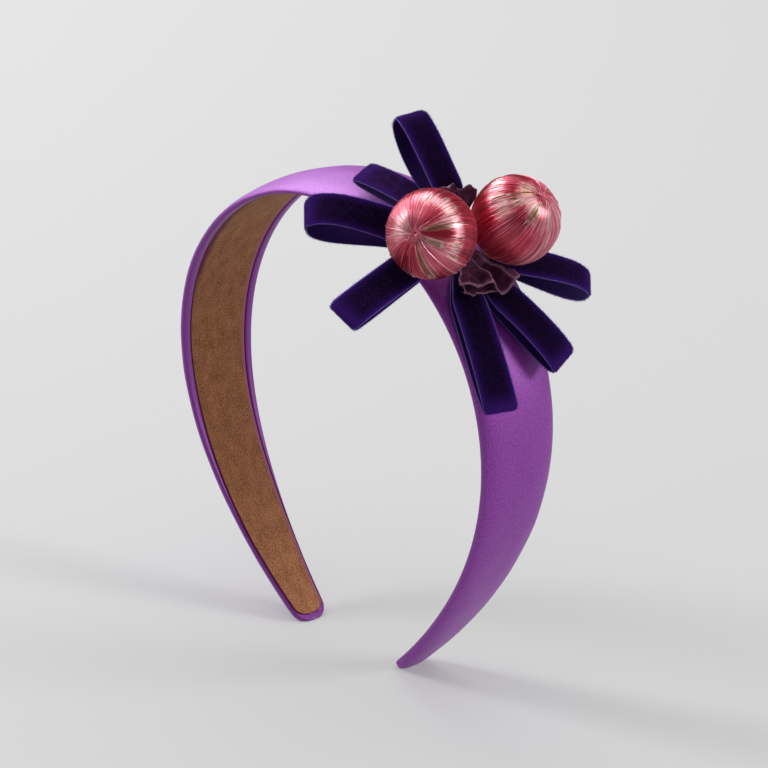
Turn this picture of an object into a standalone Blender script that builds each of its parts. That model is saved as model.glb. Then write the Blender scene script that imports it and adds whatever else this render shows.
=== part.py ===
"""Satin headband with two thread-wound balls and a bow of seven velvet ribbon loops.

The band is an arch in the XZ plane that stands on its two tips. X runs across the head from one
tip to the other, with the trim on the +X arm, Y runs across the width of the band, and Z is up.
The origin is on the ground, midway between the tips.
"""

import math
from collections import namedtuple

import bmesh
import bpy
from mathutils import Matrix, Vector

MM = 0.001

# Inner curve of the band: length of one arm from the middle of the top to its tip, and its bends
ARM_LENGTH = 189.0
Bend = namedtuple("Bend", "share radius")
BENDS = (
    Bend(0.0, 64.0),
    Bend(0.2, 63.5),
    Bend(0.4, 58.5),
    Bend(0.6, 75.0),
    Bend(0.8, 143.0),
    Bend(1.0, 162.0),
)
ARCH_STEP = 0.5
ARCH_STATIONS = 28

# Width and thickness of the satin-covered band, and the rounding of its tips
TOP_HALF_WIDTH = 15.7
TIP_HALF_WIDTH = 5.4
WIDTH_POWER = 2.1
TOP_EDGE = 2.7
TIP_EDGE = 1.9
CROWN = 1.3
CORNER_RADIUS = 2.4
END_ROUNDING = 1.0
END_SHARE = 0.45
FOOT_PRESS = 1.0

# Suede lining, set in a recess that leaves a satin rim round it
RIM_SHARE = 0.23
LINING_THICKNESS = 1.0
LINING_TOP_RECESS = 0.3
LINING_END = 2.2
LINING_CORNER = 2.0
SEAT_GAP = 0.3

# Trim: its centre on the +X arm, and the frame of its pieces (down the arm, across, out)
TRIM_LENGTH = 41.0

# Thread-wound balls, each round a hollow core with a bore from pole to pole
BALL_RADIUS = 12.4
BALL_CORE_RADIUS = 8.0
BALL_BORE_RADIUS = 0.9
BALL_DIMPLE = 0.9
BALL_DIMPLE_ANGLE = 13.0
BALL_SIDES = 24
Ball = namedtuple("Ball", "name along across height pole_x pole_y pole_z")
BALLS = (
    Ball("wound_ball_near", -1.5, -18.3, 14.4, 0.33, -0.87, 0.37),
    Ball("wound_ball_far", 2.8, 8.8, 16.2, 0.70, 0.16, 0.69),
)

# Velvet ribbon, pinched at its roots and drawn in a little where it folds over, and the loops
# that it makes. Places are in mm in the trim's frame and angles in degrees: heading 0 points down
# the arm and 90 to the far edge, lift is away from the band, bow curves the loop towards the band,
# and start is where the pinched root begins along the loop
RIBBON_WIDTH = 10.0
RIBBON_WALL = 1.0
RIBBON_CORNER = 0.25
ROOT_HALF_GAP = 0.68
ROOT_PINCH = 0.45
ROOT_LENGTH = 11.0
FOLD_LENGTH = 1.8
FOLD_INSET = 0.8
LOOP_STATIONS = 38
Loop = namedtuple(
    "Loop",
    "name along across height heading lift length opening fullness roll twist bow start",
)
LOOPS = (
    Loop("velvet_loop_top", -8.0, 3.8, 5.4, 180, 0, 33.6, 8.4, 1.0, -5, -4, -23, 1.0),
    Loop("velvet_loop_small", -9.4, 1.9, 2.04, 197, -12, 30.0, 1.4, 1.1, -5, 1, 8, 1.0),
    Loop("velvet_loop_left", -7.4, -6.8, 3.0, 236, -2, 36.2, 13.6, 2.0, -31, 25, 11, 3.0),
    Loop("velvet_loop_lower_left", -3.6, -9.4, 1.1, 284, -6, 38.0, 5.0, 3.0, 0, 0, 2, 1.0),
    Loop("velvet_loop_down", 5.0, -6.4, 2.0, -14, -8.5, 42.3, 3.7, 1.0, 8, 9, 4, 1.0),
    Loop("velvet_loop_lower_right", 8.3, -2.6, 3.5, 27.5, -10, 34.3, 5.2, 1.4, 11, 7, 8, 5.0),
    Loop("velvet_loop_right", 1.8, 6.5, 1.5, 49, 5, 31.3, 8.4, 2.8, 14, -21, 4, 1.0),
)

# Gathered velvet scrap between the balls: the rises of its ridges and hollows from its near side
# to its far side, and a row for each section down the arm
RUFFLE_WALL = 1.0
RUFFLE_RIDGES = (0.1, 0.35, 0.0, 0.9, -0.6, -0.8, 0.7, 0.1, -0.2)
Fold = namedtuple("Fold", "along across height half_spread fold_height")
RUFFLE = (
    Fold(-13.8, 4.5, 9.8, 5.5, 0.5),
    Fold(-11.0, 3.0, 9.2, 4.5, 0.45),
    Fold(-8.0, 0.5, 7.9, 3.6, 0.4),
    Fold(-5.0, -1.5, 4.6, 3.0, 0.3),
    Fold(-2.0, -1.5, 1.6, 2.8, 0.1),
    Fold(1.0, -1.5, 1.4, 2.8, 0.1),
    Fold(4.0, -2.5, 4.0, 3.4, 0.5),
    Fold(8.0, -3.6, 5.8, 5.6, 1.2),
    Fold(12.0, -3.1, 7.1, 8.4, 2.0),
    Fold(16.0, -2.4, 7.2, 11.0, 2.2),
)
RUFFLE_ACROSS = 19

# Colours of the materials
SATIN_PURPLE = (0.21, 0.05, 0.29)
SUEDE_BROWN = (0.24, 0.10, 0.045)
THREAD_ROSE = (0.62, 0.13, 0.19)
VELVET_VIOLET = (0.035, 0.008, 0.10)
VELVET_PLUM = (0.10, 0.035, 0.085)


def clear_scene():
    for item in list(bpy.data.objects):
        bpy.data.objects.remove(item, do_unlink=True)


def make_collection(name):
    collection = bpy.data.collections.new(name)
    bpy.context.scene.collection.children.link(collection)
    return collection


def make_material(name, colour, roughness, sheen=0.0):
    material = bpy.data.materials.new(name)
    material.use_nodes = True
    shader = material.node_tree.nodes["Principled BSDF"]
    shader.inputs["Base Color"].default_value = (*colour, 1.0)
    shader.inputs["Roughness"].default_value = roughness
    shader.inputs["Metallic"].default_value = 0.0
    shader.inputs["Sheen Weight"].default_value = sheen
    return material


def mix(low, high, share):
    return low + (high - low) * share


def smooth(share):
    share = min(max(share, 0.0), 1.0)
    return share * share * (3.0 - 2.0 * share)


def spline(values, position):
    """Smooth curve through equally spaced values, read at a position from 0 to 1."""
    last = len(values) - 1
    index = min(int(position * last), last - 1)
    t = position * last - index
    before = values[index - 1] if index else values[1]
    low = values[index]
    high = values[index + 1]
    after = values[index + 2] if index + 2 <= last else 2 * values[-1] - values[-2]
    return 0.5 * (
        2 * low
        + (high - before) * t
        + (2 * before - 5 * low + 4 * high - after) * t**2
        + (3 * low - before - 3 * high + after) * t**3
    )


def trace_arm():
    """Points (x, z) and slopes of the inner curve of one arm, a step apart, from the top down."""
    curvatures = [1.0 / bend.radius for bend in BENDS]
    x, z, slope = 0.0, 0.0, 0.0
    traced = [(x, z, slope)]
    steps = int(ARM_LENGTH / ARCH_STEP)
    for step in range(steps):
        turn = spline(curvatures, (step + 0.5) / steps) * ARCH_STEP
        x += math.cos(slope + turn / 2) * ARCH_STEP
        z -= math.sin(slope + turn / 2) * ARCH_STEP
        slope += turn
        traced.append((x, z, slope))
    return traced


ARM = trace_arm()


def arch_at(length):
    """Point and outward normal of the inner curve, before the arch is stood on the ground.

    length is measured along the curve from the middle of the top, and is negative on the -X arm.
    """
    side = 1.0 if length >= 0 else -1.0
    position = min(abs(length) / ARCH_STEP, len(ARM) - 1.0001)
    index = int(position)
    share = position - index
    x, z, slope = (mix(a, b, share) for a, b in zip(ARM[index], ARM[index + 1]))
    point = Vector((side * x, 0.0, z))
    normal = Vector((side * math.sin(slope), 0.0, math.cos(slope)))
    return point, normal


def tapered_half_width(length):
    share = abs(length) / ARM_LENGTH
    return TIP_HALF_WIDTH + (TOP_HALF_WIDTH - TIP_HALF_WIDTH) * (1 - share**WIDTH_POWER)


def strip_half_width(length, share, end, radius):
    """Half width of a strip as wide as a share of the band, with rounded corners at its end."""
    past = max(0.0, abs(length) - (end - radius))
    corner_cut = radius - math.sqrt(max(radius**2 - past**2, 0.0))
    return tapered_half_width(length) * share - corner_cut


def edge_thickness(length):
    return mix(TOP_EDGE, TIP_EDGE, abs(length) / ARM_LENGTH)


def crown_at(length):
    """Rise of the padded outer face over its edges, which fades towards the tips."""
    return CROWN * (tapered_half_width(length) / TOP_HALF_WIDTH) ** 2


def band_section(length):
    """Outline of the band at a length: pairs of across and out, from the inner face round."""
    half = strip_half_width(length, 1.0, ARM_LENGTH, CORNER_RADIUS)
    edge = edge_thickness(length)
    crown = crown_at(length)
    radius = edge / 2
    flat_half = half - radius
    past = max(0.0, abs(length) - (ARM_LENGTH - END_ROUNDING)) / END_ROUNDING
    squash = mix(END_SHARE, 1.0, math.sqrt(max(1.0 - past**2, 0.0)))
    side = []
    for angle in (-90, -40, 0, 40):
        turn = math.radians(angle)
        side.append((flat_half + radius * math.cos(turn), radius + radius * math.sin(turn)))
    for across in (1.0, 0.8, 0.55, 0.28):
        side.append((flat_half * across, edge + crown * (1 - across**2)))
    outline = side + [(0.0, edge + crown)] + [(-y, out) for y, out in reversed(side)]
    middle = (edge + crown) / 2
    return [(y, middle + (out - middle) * squash) for y, out in outline]


def lining_half_width(length, clearance=0.0):
    end = ARM_LENGTH - LINING_END + clearance
    share = 1 - RIM_SHARE
    return strip_half_width(length, share, end, LINING_CORNER + clearance) + clearance


def lining_face(length):
    """Depth of the lining's visible face below the satin rim."""
    return LINING_TOP_RECESS * (1 - abs(length) / ARM_LENGTH)


def lining_section(length):
    half = lining_half_width(length)
    face = lining_face(length)
    back = face + LINING_THICKNESS
    return [(half, face), (half, back), (0.0, back), (-half, back), (-half, face), (0.0, face)]


def recess_section(length):
    half = lining_half_width(length, SEAT_GAP)
    floor = lining_face(length) + LINING_THICKNESS + SEAT_GAP
    below = -LINING_THICKNESS
    return [(half, below), (half, floor), (-half, floor), (-half, below)]


def stations(end, rounded, count, end_count):
    """Lengths from one tip to the other, close together where the tips are rounded."""
    straight = end - rounded
    arm = [straight * i / count for i in range(count)]
    arm += [straight + rounded * math.sin(math.pi / 2 * i / end_count) for i in range(end_count + 1)]
    return [-length for length in reversed(arm[1:])] + arm


def arch_rings(lengths, section):
    """A ring of points for each station, placed on the inner curve."""
    rings = []
    for length in lengths:
        point, normal = arch_at(length)
        ring = [point + normal * out + Vector((0.0, y, 0.0)) for y, out in section(length)]
        rings.append(ring)
    return rings


BAND_RINGS = arch_rings(stations(ARM_LENGTH, CORNER_RADIUS + 1.0, ARCH_STATIONS, 8), band_section)
GROUND = min(point.z for ring in BAND_RINGS for point in ring) + FOOT_PRESS


def stood(point):
    """A point raised with the arch, so that it stands on the ground, and in metres."""
    return Vector((point.x, point.y, point.z - GROUND)) * MM


def loft(name, rings, collection, material=None):
    """Closed mesh through rings of equal counts, capped at both ends."""
    mesh = bpy.data.meshes.new(name)
    built = bmesh.new()
    rows = [[built.verts.new(point) for point in ring] for ring in rings]
    count = len(rows[0])
    for low, high in zip(rows, rows[1:]):
        for i in range(count):
            j = (i + 1) % count
            built.faces.new((low[i], low[j], high[j], high[i]))
    built.faces.new(list(reversed(rows[0])))
    built.faces.new(rows[-1])
    bmesh.ops.recalc_face_normals(built, faces=built.faces)
    built.to_mesh(mesh)
    built.free()
    made = bpy.data.objects.new(name, mesh)
    collection.objects.link(made)
    if material:
        mesh.materials.append(material)
        mesh.shade_smooth()
        mesh.set_sharp_from_angle(angle=math.radians(50))
    return made


def make_band(collection, cutters, material):
    """Satin-covered band with flat feet where its tips rest, and a recess for the lining."""
    rings = [[stood(point) for point in ring] for ring in BAND_RINGS]
    for ring in rings:
        for point in ring:
            point.z = max(point.z, 0.0)
    band = loft("satin_band", rings, collection, material)
    end = ARM_LENGTH - LINING_END + SEAT_GAP
    recess_rings = arch_rings(stations(end, LINING_CORNER + SEAT_GAP, ARCH_STATIONS, 5), recess_section)
    recess = loft("lining_recess", [[stood(p) for p in ring] for ring in recess_rings], cutters)
    recess.hide_render = True
    recess.display_type = "WIRE"
    cut = band.modifiers.new("lining_recess", "BOOLEAN")
    cut.operation = "DIFFERENCE"
    cut.solver = "EXACT"
    cut.object = recess
    return band


def make_lining(collection, material):
    lengths = stations(ARM_LENGTH - LINING_END, LINING_CORNER, ARCH_STATIONS, 5)
    rings = arch_rings(lengths, lining_section)
    return loft("suede_lining", [[stood(p) for p in ring] for ring in rings], collection, material)


def trim_frame():
    """Matrix of the trim: X down the arm, Y to the far edge, Z out of the band, in metres."""
    point, normal = arch_at(TRIM_LENGTH)
    out = edge_thickness(TRIM_LENGTH) + crown_at(TRIM_LENGTH)
    down = Vector((normal.z, 0.0, -normal.x))
    axes = Matrix((down, Vector((0.0, 1.0, 0.0)), normal)).transposed()
    return Matrix.Translation(stood(point + normal * out)) @ axes.to_4x4()


TRIM = trim_frame()


def on_trim(along, across, height):
    return TRIM @ (Vector((along, across, height)) * MM)


def ball_profile():
    """Half section of a wound ball, from pole to pole outside and back inside its core."""
    outer = []
    first = math.degrees(math.asin((BALL_BORE_RADIUS + 0.3) / BALL_RADIUS))
    for step in range(15):
        angle = mix(first, 180.0 - first, step / 14)
        from_pole = min(angle, 180.0 - angle)
        radius = BALL_RADIUS - BALL_DIMPLE * math.exp(-((from_pole / BALL_DIMPLE_ANGLE) ** 2))
        turn = math.radians(angle)
        outer.append((radius * math.sin(turn), radius * math.cos(turn)))
    inner = []
    core_first = math.asin(BALL_BORE_RADIUS / BALL_CORE_RADIUS)
    for step in range(7):
        turn = mix(math.pi - core_first, core_first, step / 6)
        inner.append((BALL_CORE_RADIUS * math.sin(turn), BALL_CORE_RADIUS * math.cos(turn)))
    lip = BALL_RADIUS - BALL_DIMPLE - 0.5
    return outer + [(BALL_BORE_RADIUS, -lip)] + inner + [(BALL_BORE_RADIUS, lip)]


def make_ball(row, collection, material):
    """Ball turned from its half section, with its poles along the row's direction."""
    mesh = bpy.data.meshes.new(row.name)
    profile = ball_profile()
    count = len(profile)
    points = [(radius * MM, 0.0, height * MM) for radius, height in profile]
    mesh.from_pydata(points, [(i, (i + 1) % count) for i in range(count)], [])
    mesh.materials.append(material)
    ball = bpy.data.objects.new(row.name, mesh)
    collection.objects.link(ball)
    turn = ball.modifiers.new("wound_round", "SCREW")
    turn.axis = "Z"
    turn.steps = BALL_SIDES
    turn.render_steps = BALL_SIDES
    turn.use_merge_vertices = True
    turn.merge_threshold = 0.00001
    turn.use_smooth_shade = True
    pole = Vector((row.pole_x, row.pole_y, row.pole_z)).normalized()
    ball.location = on_trim(row.along, row.across, row.height)
    ball.rotation_euler = pole.to_track_quat("Z", "Y").to_euler()
    return ball


def loop_frame(row):
    """Root, heading, width and rising directions of a loop, in the trim's frame in mm."""
    heading = math.radians(row.heading)
    lift = math.radians(row.lift)
    flat = Vector((math.cos(heading), math.sin(heading), 0.0))
    side = Vector((-math.sin(heading), math.cos(heading), 0.0))
    forward = flat * math.cos(lift) + Vector((0.0, 0.0, math.sin(lift)))
    rise = Vector((0.0, 0.0, math.cos(lift))) - flat * math.sin(lift)
    return Vector((row.along, row.across, row.height)), forward, side, rise


def ribbon_half_width(reach, length):
    """Half width of the ribbon at a reach from the root of a loop of that length."""
    pinched = RIBBON_WIDTH / 2 * mix(ROOT_PINCH, 1.0, smooth(reach / ROOT_LENGTH))
    past = max(0.0, reach - (length - FOLD_LENGTH)) / FOLD_LENGTH
    return pinched - FOLD_INSET * (1 - math.sqrt(max(1.0 - past**2, 0.0)))


def loop_section(row, turn):
    """Centre, width direction and half width of the ribbon at a turn from 0 to 2 pi."""
    root, forward, side, rise = loop_frame(row)
    reach = row.length * (1 - math.cos(turn)) / 2
    apart = ROOT_HALF_GAP * math.cos(turn / 2)
    apart += row.opening / 2 * math.sin(turn) * abs(math.sin(turn / 2)) ** row.fullness
    bow = math.radians(row.bow)
    bent = bow * reach / row.length
    radius = row.length / bow if bow else 0.0
    ahead = radius * math.sin(bent) if bow else reach
    down = radius * (1 - math.cos(bent)) if bow else 0.0
    lifted = rise * math.cos(bent) + forward * math.sin(bent)
    roll = math.radians(row.roll + row.twist * reach / row.length)
    across = side * math.cos(roll) + lifted * math.sin(roll)
    normal = lifted * math.cos(roll) - side * math.sin(roll)
    half = ribbon_half_width(reach, row.length)
    return root + forward * ahead - rise * down + normal * apart, across, half


def loop_turns(row, count):
    first = math.acos(1 - 2 * row.start / row.length)
    return [mix(first, 2 * math.pi - first, i / count) for i in range(count + 1)]


def make_loop(row, collection, material):
    """Ribbon that leaves the trim's centre, turns over and comes back under itself."""
    sections = [loop_section(row, turn) for turn in loop_turns(row, LOOP_STATIONS)]
    centres = [section[0] for section in sections]
    rings = []
    for i, (centre, across, half) in enumerate(sections):
        ahead = centres[min(i + 1, len(centres) - 1)] - centres[max(i - 1, 0)]
        through = ahead.cross(across).normalized() * (RIBBON_WALL / 2)
        inset = half - RIBBON_CORNER
        ring = []
        for y, out in ((half, 0), (inset, 1), (-inset, 1), (-half, 0), (-inset, -1), (inset, -1)):
            point = centre + across * y + through * out
            ring.append(TRIM @ (point * MM))
        rings.append(ring)
    return loft(row.name, rings, collection, material)


def ruffle_point(position, across_share):
    """Point of the ruffle's sheet: ridges and hollows across, pinched between the balls."""
    along, across, height, half, fold = (
        spline([getattr(row, name) for row in RUFFLE], position) for name in Fold._fields
    )
    rise = spline(RUFFLE_RIDGES, (across_share + 1) / 2)
    return Vector((along, across + half * across_share, height + fold * rise))


def make_ruffle(collection, material):
    """Gathered scrap of velvet: an open folded sheet with a wall."""
    mesh = bpy.data.meshes.new("gathered_ruffle")
    built = bmesh.new()
    sections = 2 * (len(RUFFLE) - 1)
    grid = []
    for i in range(sections + 1):
        shares = [2 * j / (RUFFLE_ACROSS - 1) - 1 for j in range(RUFFLE_ACROSS)]
        row = [built.verts.new(TRIM @ (ruffle_point(i / sections, s) * MM)) for s in shares]
        grid.append(row)
    for low, high in zip(grid, grid[1:]):
        for j in range(RUFFLE_ACROSS - 1):
            built.faces.new((low[j], high[j], high[j + 1], low[j + 1]))
    built.to_mesh(mesh)
    built.free()
    mesh.materials.append(material)
    mesh.shade_smooth()
    ruffle = bpy.data.objects.new("gathered_ruffle", mesh)
    collection.objects.link(ruffle)
    wall = ruffle.modifiers.new("wall", "SOLIDIFY")
    wall.thickness = RUFFLE_WALL * MM
    wall.offset = 0.0
    return ruffle


def build():
    clear_scene()
    headband = make_collection("satin_headband")
    cutters = make_collection("cutters")
    make_band(headband, cutters, make_material("satin", SATIN_PURPLE, 0.35))
    make_lining(headband, make_material("suede", SUEDE_BROWN, 0.9, 0.3))
    thread = make_material("wound_thread", THREAD_ROSE, 0.35)
    for row in BALLS:
        make_ball(row, headband, thread)
    velvet = make_material("velvet_ribbon", VELVET_VIOLET, 0.85, 0.6)
    for row in LOOPS:
        make_loop(row, headband, velvet)
    make_ruffle(headband, make_material("plum_velvet", VELVET_PLUM, 0.85, 0.4))


build()
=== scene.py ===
import math
import random

import bpy
from mathutils import Matrix, Vector, noise


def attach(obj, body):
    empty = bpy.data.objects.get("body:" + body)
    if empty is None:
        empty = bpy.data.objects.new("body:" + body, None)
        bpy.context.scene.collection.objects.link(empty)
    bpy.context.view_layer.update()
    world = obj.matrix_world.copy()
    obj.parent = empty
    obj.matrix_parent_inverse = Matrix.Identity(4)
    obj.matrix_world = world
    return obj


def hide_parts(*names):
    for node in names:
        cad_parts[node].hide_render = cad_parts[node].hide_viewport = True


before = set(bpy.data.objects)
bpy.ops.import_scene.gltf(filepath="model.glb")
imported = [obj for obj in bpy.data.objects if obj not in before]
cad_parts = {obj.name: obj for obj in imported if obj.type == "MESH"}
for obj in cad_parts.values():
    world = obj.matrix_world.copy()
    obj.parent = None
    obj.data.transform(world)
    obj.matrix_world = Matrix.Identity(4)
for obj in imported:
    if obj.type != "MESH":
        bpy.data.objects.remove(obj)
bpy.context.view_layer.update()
mm = 0.001  # lengths below are in mm, in the CAD frame


def mix(low, high, share):
    return low + (high - low) * share


def smooth(share):
    share = min(max(share, 0.0), 1.0)
    return share * share * (3.0 - 2.0 * share)


def bell(distance, width):
    return math.exp(-(distance / width) ** 2)


def spline(values, position):
    last = len(values) - 1
    i = min(int(position * last), last - 1)
    t = position * last - i
    a = values[i - 1] if i else values[1]
    b, c = values[i], values[i + 1]
    d = values[i + 2] if i + 2 <= last else 2 * values[-1] - values[-2]
    return 0.5 * (2 * b + (c - a) * t + (2 * a - 5 * b + 4 * c - d) * t**2 + (3 * b - a - 3 * c + d) * t**3)


def ripple(x, y, z=0.0):
    return noise.noise(Vector((x, y, z)))


# gathers points, faces, cloth coordinates and material slots until a piece is made of them
class MeshPile:

    def __init__(self):
        self.points, self.faces, self.cloth, self.slots = [], [], [], []
        self.marks, self.normals = [], []  # one for each point, where the piece has them

    def add(self, points, faces, cloth, slots):
        start = len(self.points)
        self.points += points
        self.faces += [tuple(start + i for i in face) for face in faces]
        self.cloth += cloth
        self.slots += slots

    def addSpike(self, points, cloth):
        self.add(points, [(0, 1, 3), (1, 2, 3), (2, 0, 3), (0, 2, 1)], [cloth] * 12, [0] * 4)

    def make(self, name, materials, sharp=60, mark=None):
        mesh = bpy.data.meshes.new(name)
        mesh.from_pydata([Vector(p) * mm for p in self.points], [], self.faces)
        layer = mesh.uv_layers.new(name="cloth")
        layer.data.foreach_set("uv", [value for corner in self.cloth for value in corner])
        for material in materials:
            mesh.materials.append(material)
        mesh.polygons.foreach_set("material_index", self.slots)
        mesh.shade_smooth()
        mesh.set_sharp_from_angle(angle=math.radians(sharp))
        mesh.update()
        if self.normals:
            mesh.normals_split_custom_set_from_vertices(self.normals)
        if mark:
            values = mesh.attributes.new(mark, "FLOAT", "POINT")
            values.data.foreach_set("value", self.marks)
        made = bpy.data.objects.new(name, mesh)
        bpy.context.scene.collection.objects.link(made)
        return made


# a closed skin over a row of rings, with a cap at each end
def loftRings(pile, rings, cloth, slotOf=lambda i, j: 0):
    count = len(rings[0])
    points = [p for ring in rings for p in ring]
    faces, corners, slots = [], [], []
    for i in range(len(rings) - 1):
        for j in range(count):
            k = (j + 1) % count
            faces.append((i * count + j, (i + 1) * count + j, (i + 1) * count + k, i * count + k))
            corners += [cloth[i][j], cloth[i + 1][j], cloth[i + 1][j + 1], cloth[i][j + 1]]
            slots.append(slotOf(i, j))
    last = len(rings) - 1
    faces.append(tuple(range(count)))
    faces.append(tuple(last * count + j for j in reversed(range(count))))
    corners += [cloth[0][j] for j in range(count)]
    corners += [cloth[last][j] for j in reversed(range(count))]
    slots += [slotOf(0, 0), slotOf(last, 0)]
    pile.add(points, faces, corners, slots)


def addNode(tree, kind, inputs=None, **settings):
    node = tree.nodes.new(kind)
    for key, value in settings.items():
        setattr(node, key, value)
    for key, value in (inputs or {}).items():
        if isinstance(value, bpy.types.NodeSocket):
            tree.links.new(value, node.inputs[key])
        else:
            node.inputs[key].default_value = value
    return node


def newFinish(name, sockets):
    material = bpy.data.materials.new(name)
    material.use_nodes = True
    tree = material.node_tree
    shader = tree.nodes["Principled BSDF"]
    for key, value in sockets.items():
        shader.inputs[key].default_value = value
    return material, tree, shader


def colourRamp(tree, factor, stops):
    ramp = addNode(tree, "ShaderNodeValToRGB", {"Fac": factor})
    elements = ramp.color_ramp.elements
    for i, (place, colour) in enumerate(stops):
        element = elements[i] if i < 2 else elements.new(place)
        element.position = place
        element.color = (*colour, 1.0)
    return ramp.outputs["Color"]


def mixColours(tree, factor, first, second, blend="MIX"):
    inputs = {"Factor": factor, "A": first, "B": second}
    return addNode(tree, "ShaderNodeMix", inputs, data_type="RGBA", blend_type=blend).outputs["Result"]


def mixValues(tree, factor, first, second):
    inputs = {"Factor": factor, 2: first, 3: second}
    return addNode(tree, "ShaderNodeMix", inputs, data_type="FLOAT").outputs[0]


def clothPlace(tree, scaleU, scaleV):
    uv = addNode(tree, "ShaderNodeUVMap", uv_map="cloth")
    place = addNode(tree, "ShaderNodeMapping", {"Vector": uv.outputs["UV"], "Scale": (scaleU, scaleV, 1.0)})
    return place.outputs["Vector"]


def clothNoise(tree, stretch, scale, detail, roughness=0.5):
    inputs = {"Vector": clothPlace(tree, *stretch), "Scale": scale, "Detail": detail, "Roughness": roughness}
    return addNode(tree, "ShaderNodeTexNoise", inputs).outputs["Fac"]


# fine ribs across the ribbon
def clothRibs(tree, scale, distortion):
    inputs = {"Vector": clothPlace(tree, 1.0, 0.0), "Scale": scale, "Distortion": distortion}
    return addNode(tree, "ShaderNodeTexWave", inputs, bands_direction="X").outputs["Fac"]


# how far the cloth is from its middle along one axis
def fromMiddle(tree, scaleU, scaleV, axis):
    parts = addNode(tree, "ShaderNodeSeparateXYZ", {"Vector": clothPlace(tree, scaleU, scaleV)})
    return addNode(tree, "ShaderNodeMath", {0: parts.outputs[axis]}, operation="ABSOLUTE").outputs[0]


def markOf(tree, name):
    return addNode(tree, "ShaderNodeAttribute", attribute_name=name).outputs["Fac"]


def addBump(tree, shader, height, strength, distance):
    bump = addNode(tree, "ShaderNodeBump", {"Height": height, "Strength": strength, "Distance": distance})
    tree.links.new(bump.outputs["Normal"], shader.inputs["Normal"])


# the gloss is drawn out across the cloth's own direction
def followCloth(tree, shader):
    tangent = addNode(tree, "ShaderNodeTangent", direction_type="UV_MAP", uv_map="cloth")
    tree.links.new(tangent.outputs["Tangent"], shader.inputs["Tangent"])


# fitted to the outline in the photograph
view = {
    "place": (669.9, -616.6, 430.9),
    "azimuth": 46.942,
    "elevation": 21.036,
    "roll": 0.294,
    "lens": 159.93,
}

floorLook = {"size": 9000.0, "colour": (0.455, 0.455, 0.458), "roughness": 0.75, "gloss": 0.2}

lamps = {
    "softboxLeft": {"place": (-1240, -780, 1150), "size": 560, "power": 11.0, "aim": (10, 0, 80)},
    "softboxRight": {"place": (1480, 930, 780), "size": 640, "power": 14.5, "aim": (10, 0, 80)},
    "overhead": {"place": (-100, 100, 2600), "size": 4200, "power": 45.0, "aim": (0, 0, 60)},
    # a wide glow that gives the top its sheen and casts no shadow
    "backGlow": {
        "place": (-2050, 620, 2000), "size": 2300, "power": 70.0, "aim": (0, 0, 100), "shadows": False},
}
worldLight = {"colour": (1.0, 1.0, 1.01), "strength": 0.24}


def makeCamera():
    data = bpy.data.cameras.new("photoCamera")
    data.lens = view["lens"]
    data.sensor_width = 36.0
    data.clip_end = 20.0
    camera = bpy.data.objects.new("photoCamera", data)
    bpy.context.scene.collection.objects.link(camera)
    azimuth, elevation, roll = (math.radians(view[k]) for k in ("azimuth", "elevation", "roll"))
    turn = Matrix.Rotation(azimuth, 4, "Z") @ Matrix.Rotation(math.pi / 2 - elevation, 4, "X")
    place = Matrix.Translation(Vector(view["place"]) * mm)
    camera.matrix_world = place @ turn @ Matrix.Rotation(roll, 4, "Z")
    bpy.context.scene.camera = camera


def makeFloor():
    half = floorLook["size"] / 2
    pile = MeshPile()
    corners = [(-half, -half, 0), (half, -half, 0), (half, half, 0), (-half, half, 0)]
    pile.add(corners, [(0, 1, 2, 3)], [(0, 0), (1, 0), (1, 1), (0, 1)], [0])
    paper = newFinish("paleFloor", {
        "Base Color": (*floorLook["colour"], 1.0), "Roughness": floorLook["roughness"],
        "Specular IOR Level": floorLook["gloss"]})[0]
    pile.make("paleFloor", [paper])


def makeLights():
    scene = bpy.context.scene
    for name, lamp in lamps.items():
        data = bpy.data.lights.new(name, "AREA")
        data.shape = "DISK"
        data.size = lamp["size"] * mm
        data.energy = lamp["power"]
        data.use_shadow = lamp.get("shadows", True)
        light = bpy.data.objects.new(name, data)
        scene.collection.objects.link(light)
        place = Vector(lamp["place"]) * mm
        aim = Vector(lamp["aim"]) * mm
        light.location = place
        light.rotation_euler = (aim - place).to_track_quat("-Z", "Y").to_euler()
    world = bpy.data.worlds.new("studio")
    world.use_nodes = True
    back = world.node_tree.nodes["Background"]
    back.inputs["Color"].default_value = (*worldLight["colour"], 1.0)
    back.inputs["Strength"].default_value = worldLight["strength"]
    scene.world = world
    scene.view_settings.view_transform = "Standard"


arch = {
    "armLength": 189.0,
    "bends": (64.0, 63.5, 58.5, 75.0, 143.0, 162.0),  # radii from the top to the tip
    "step": 0.5,
    "topHeight": 139.3,
}


def traceArm():
    curvatures = [1.0 / radius for radius in arch["bends"]]
    steps = int(arch["armLength"] / arch["step"])
    x = z = slope = 0.0
    traced = [(x, z, slope)]
    for i in range(steps):
        turn = spline(curvatures, (i + 0.5) / steps) * arch["step"]
        x += math.cos(slope + turn / 2) * arch["step"]
        z -= math.sin(slope + turn / 2) * arch["step"]
        slope += turn
        traced.append((x, z, slope))
    return traced


arm = traceArm()


# a point of the arch and its outward direction; length runs from the top, negative on the -X side
def archAt(length):
    side = 1.0 if length >= 0 else -1.0
    position = min(abs(length) / arch["step"], len(arm) - 1.0001)
    i = int(position)
    x, z, slope = (mix(a, b, position - i) for a, b in zip(arm[i], arm[i + 1]))
    point = Vector((side * x, 0.0, z + arch["topHeight"]))
    return point, Vector((side * math.sin(slope), 0.0, math.cos(slope)))


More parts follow.
